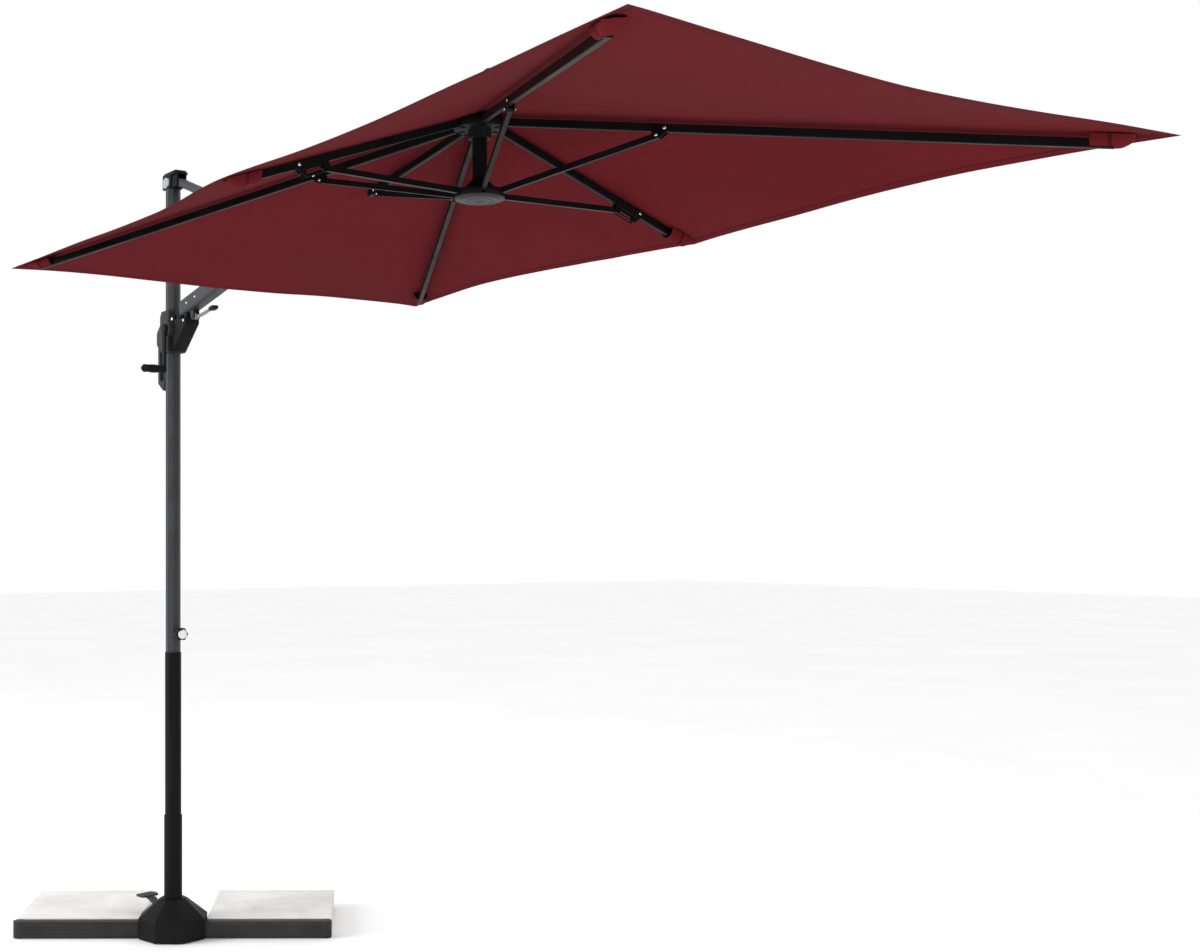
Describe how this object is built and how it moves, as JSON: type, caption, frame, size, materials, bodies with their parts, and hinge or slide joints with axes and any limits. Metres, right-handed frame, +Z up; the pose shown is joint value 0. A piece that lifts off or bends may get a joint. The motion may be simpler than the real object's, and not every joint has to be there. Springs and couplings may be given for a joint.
{
  "type": "cantilever patio umbrella with base",
  "caption": "Free-standing cantilever parasol: swivelling side mast, tilting boom with crank slider, folding rectangular canopy on ribs and struts, slab-weighted base.",
  "frame": {"origin": "on the mast axis, where the base stands on the floor", "axes": "+Z up along the mast, +X along the boom from the mast towards the canopy, +Y to the left when looking along the boom"},
  "size_m": [3.5753, 1.3436, 2.45],
  "materials": {
    "moulded_black": "satin moulded plastic",
    "hub_plastic": "moulded plastic",
    "disc_grey": "matt grey moulded plastic",
    "frame_steel": "black powder coat",
    "bar_grey": "dark grey powder coat",
    "pedal_grey": "worn grey coat",
    "slab_concrete": "rough cast concrete",
    "foot_rubber": "matt rubber",
    "bush_nylon": "black nylon",
    "tube_black": "black powder coat",
    "mast_anthracite": "anthracite powder coat",
    "joint_black": "black coated casting",
    "knob_plastic": "black knob with a metal rim",
    "lever_silver": "brushed with black tip",
    "drum_grey": "moulded spool",
    "rib_black": "black coated tube",
    "bracket_black": "black pressed steel with bright rivets",
    "strut_black": "black coated bar",
    "canopy_fabric": "burgundy woven polyester"
  },
  "bodies": {
    "base": {"base_housing": "moulded_black", "base_frame": "frame_steel", "front_bars": "bar_grey", "slab_left": "slab_concrete", "slab_right": "slab_concrete", "feet": "foot_rubber", "swivel_bushes": "bush_nylon"},
    "pedal": {"pedal": "pedal_grey"},
    "mast": {"socket_tube": "tube_black", "lower_tube": "tube_black", "upper_mast": "mast_anthracite", "lock_ring": "frame_steel", "mast_head": "joint_black", "mast_cap": "moulded_black"},
    "knob": {"clamp_knob": "knob_plastic"},
    "stay": {"stay": "mast_anthracite"},
    "carrier": {"carrier_tube": "mast_anthracite", "root_hinge": "joint_black", "saddle": "joint_black", "boom_bushes": "bush_nylon"},
    "lever": {"clamp_lever": "lever_silver"},
    "boom": {"boom_tube": "mast_anthracite", "boom_tip": "hub_plastic", "crown": "hub_plastic"},
    "slider": {"slider_shell": "moulded_black", "slider_grip": "moulded_black", "slider_bracket": "joint_black", "slider_liners": "bush_nylon"},
    "crank": {"crank_arm": "joint_black", "crank_drum": "drum_grey"},
    "grip": {"crank_grip": "moulded_black"},
    "runner": {"runner": "hub_plastic", "runner_disc": "disc_grey"},
    "rib_near_right": {"rib_near_right": "rib_black", "bracket_near_right": "bracket_black", "fabric_near_right": "canopy_fabric"},
    "strut_near_right": {"strut_near_right": "strut_black"},
    "rib_near_left": {"rib_near_left": "rib_black", "bracket_near_left": "bracket_black", "fabric_near_left": "canopy_fabric"},
    "strut_near_left": {"strut_near_left": "strut_black"},
    "rib_mid_left": {"rib_mid_left": "rib_black", "bracket_mid_left": "bracket_black", "fabric_mid_left": "canopy_fabric"},
    "strut_mid_left": {"strut_mid_left": "strut_black"},
    "rib_mid_right": {"rib_mid_right": "rib_black", "bracket_mid_right": "bracket_black", "fabric_mid_right": "canopy_fabric"},
    "strut_mid_right": {"strut_mid_right": "strut_black"},
    "rib_far_left": {"rib_far_left": "rib_black", "bracket_far_left": "bracket_black", "fabric_far_left": "canopy_fabric"},
    "strut_far_left": {"strut_far_left": "strut_black"},
    "rib_far_right": {"rib_far_right": "rib_black", "bracket_far_right": "bracket_black", "fabric_far_right": "canopy_fabric"},
    "strut_far_right": {"strut_far_right": "strut_black"},
    "rib_short": {"rib_short": "rib_black", "bracket_short": "bracket_black"},
    "strut_short": {"strut_short": "strut_black"}
  },
  "joints": [
    {"name": "mast_swivel", "type": "hinge", "parent": "base", "child": "mast", "pos_m": [0, 0, 0.06], "axis": [0, 0, 1], "continuous": true},
    {"name": "foot_pedal", "type": "hinge", "parent": "base", "child": "pedal", "pos_m": [-0.06041, -0.01395, 0.084], "axis": [0.225, -0.9744, 0], "range_deg": [0, 12], "stiffness_Nm_per_rad": 4, "springref_deg": -6.88},
    {"name": "clamp_knob_turn", "type": "hinge", "parent": "mast", "child": "knob", "pos_m": [0.02, 0, 0.974], "axis": [1, 0, 0], "range_deg": [0, 540]},
    {"name": "boom_tilt", "type": "hinge", "parent": "mast", "child": "stay", "pos_m": [0.048, 0, 2.415], "axis": [0, 1, 0], "range_deg": [0, 36]},
    {"name": "saddle_hinge", "type": "hinge", "parent": "stay", "child": "carrier", "pos_m": [0.62765, 0, 2.195], "axis": [0, 1, 0], "range_deg": [-72, 0]},
    {"name": "slider_travel", "type": "hinge", "parent": "carrier", "child": "slider", "pos_m": [0.048, 0, 1.975], "axis": [0, 1, 0], "range_deg": [0, 36]},
    {"name": "side_tilt", "type": "hinge", "parent": "carrier", "child": "boom", "pos_m": [0, 0, 1.98501], "axis": [0.9803, 0, 0.1977], "range_deg": [-25, 25]},
    {"name": "clamp_lever_pull", "type": "hinge", "parent": "carrier", "child": "lever", "pos_m": [0.16405, 0, 1.97116], "axis": [0, 1, 0], "range_deg": [0, 35]},
    {"name": "crank_turn", "type": "hinge", "parent": "slider", "child": "crank", "pos_m": [0.036, -0.048, 1.945], "axis": [0, 1, 0], "range_deg": [0, 1952.1]},
    {"name": "grip_spin", "type": "hinge", "parent": "crank", "child": "grip", "pos_m": [0.036, -0.09, 1.816], "axis": [0, 1, 0], "continuous": true},
    {"name": "canopy_fold", "type": "hinge", "parent": "boom", "child": "rib_near_right", "pos_m": [1.63748, -0.02226, 2.23576], "axis": [0.4638, -0.8859, 0], "range_deg": [0, 68], "deforming": ["fabric_near_right"]},
    {"name": "fold_near_left", "type": "hinge", "parent": "boom", "child": "rib_near_left", "pos_m": [1.63748, 0.02226, 2.23576], "axis": [-0.4638, -0.8859, 0], "range_deg": [0, 68.01], "deforming": ["fabric_near_left"]},
    {"name": "fold_mid_left", "type": "hinge", "parent": "boom", "child": "rib_mid_left", "pos_m": [1.68, 0.048, 2.23576], "axis": [-1, 0, 0], "range_deg": [0, 54.34], "deforming": ["fabric_mid_left"]},
    {"name": "fold_mid_right", "type": "hinge", "parent": "boom", "child": "rib_mid_right", "pos_m": [1.68, -0.048, 2.23576], "axis": [1, 0, 0], "range_deg": [0, 54.34], "deforming": ["fabric_mid_right"]},
    {"name": "fold_far_left", "type": "hinge", "parent": "boom", "child": "rib_far_left", "pos_m": [1.72252, 0.02226, 2.23576], "axis": [-0.4638, 0.8859, 0], "range_deg": [0, 68.01], "deforming": ["fabric_far_left"]},
    {"name": "fold_far_right", "type": "hinge", "parent": "boom", "child": "rib_far_right", "pos_m": [1.72252, -0.02226, 2.23576], "axis": [0.4638, 0.8859, 0], "range_deg": [0, 68.01], "deforming": ["fabric_far_right"]},
    {"name": "fold_short", "type": "hinge", "parent": "boom", "child": "rib_short", "pos_m": [1.632, 0, 2.23576], "axis": [0, -1, 0], "range_deg": [0, 68.01]},
    {"name": "strut_fold_near_right", "type": "hinge", "parent": "rib_near_right", "child": "strut_near_right", "pos_m": [1.29743, -0.2003, 2.15618], "axis": [0.4638, -0.8859, 0], "range_deg": [-136, 0]},
    {"name": "strut_fold_near_left", "type": "hinge", "parent": "rib_near_left", "child": "strut_near_left", "pos_m": [1.29743, 0.2003, 2.15618], "axis": [-0.4638, -0.8859, 0], "range_deg": [-136, 0]},
    {"name": "strut_fold_far_left", "type": "hinge", "parent": "rib_far_left", "child": "strut_far_left", "pos_m": [2.06257, 0.2003, 2.15618], "axis": [-0.4638, 0.8859, 0], "range_deg": [-136, 0]},
    {"name": "strut_fold_far_right", "type": "hinge", "parent": "rib_far_right", "child": "strut_far_right", "pos_m": [2.06257, -0.2003, 2.15618], "axis": [0.4638, 0.8859, 0], "range_deg": [-136, 0]},
    {"name": "strut_fold_short", "type": "hinge", "parent": "rib_short", "child": "strut_short", "pos_m": [1.24816, 0, 2.15618], "axis": [0, -1, 0], "range_deg": [-136, 0]},
    {"name": "runner_drop", "type": "hinge", "parent": "strut_near_right", "child": "runner", "pos_m": [1.63748, -0.02226, 2.07661], "axis": [0.4638, -0.8859, 0], "range_deg": [0, 68]},
    {"name": "strut_fold_mid_left", "type": "hinge", "parent": "runner", "child": "strut_mid_left", "pos_m": [1.68, 0.048, 2.07661], "axis": [-1, 0, 0], "range_deg": [-73.65, 0]},
    {"name": "strut_fold_mid_right", "type": "hinge", "parent": "runner", "child": "strut_mid_right", "pos_m": [1.68, -0.048, 2.07661], "axis": [1, 0, 0], "range_deg": [-73.65, 0]}
  ],
  "couplings": [
    {"joint": "saddle_hinge", "follows": "boom_tilt", "ratio": -2},
    {"joint": "slider_travel", "follows": "boom_tilt", "ratio": 1},
    {"joint": "crank_turn", "follows": "canopy_fold", "ratio": 28.7},
    {"joint": "fold_near_left", "follows": "canopy_fold", "ratio": 1},
    {"joint": "fold_mid_left", "follows": "canopy_fold", "ratio": 0.7989},
    {"joint": "fold_mid_right", "follows": "canopy_fold", "ratio": 0.7989},
    {"joint": "fold_far_left", "follows": "canopy_fold", "ratio": 1},
    {"joint": "fold_far_right", "follows": "canopy_fold", "ratio": 1},
    {"joint": "fold_short", "follows": "canopy_fold", "ratio": 1},
    {"joint": "strut_fold_near_right", "follows": "canopy_fold", "ratio": -2},
    {"joint": "strut_fold_near_left", "follows": "canopy_fold", "ratio": -2},
    {"joint": "strut_fold_far_left", "follows": "canopy_fold", "ratio": -2},
    {"joint": "strut_fold_far_right", "follows": "canopy_fold", "ratio": -2},
    {"joint": "strut_fold_short", "follows": "canopy_fold", "ratio": -2},
    {"joint": "runner_drop", "follows": "canopy_fold", "ratio": 1},
    {"joint": "strut_fold_mid_left", "follows": "canopy_fold", "ratio": -1.0829},
    {"joint": "strut_fold_mid_right", "follows": "canopy_fold", "ratio": -1.0829}
  ]
}
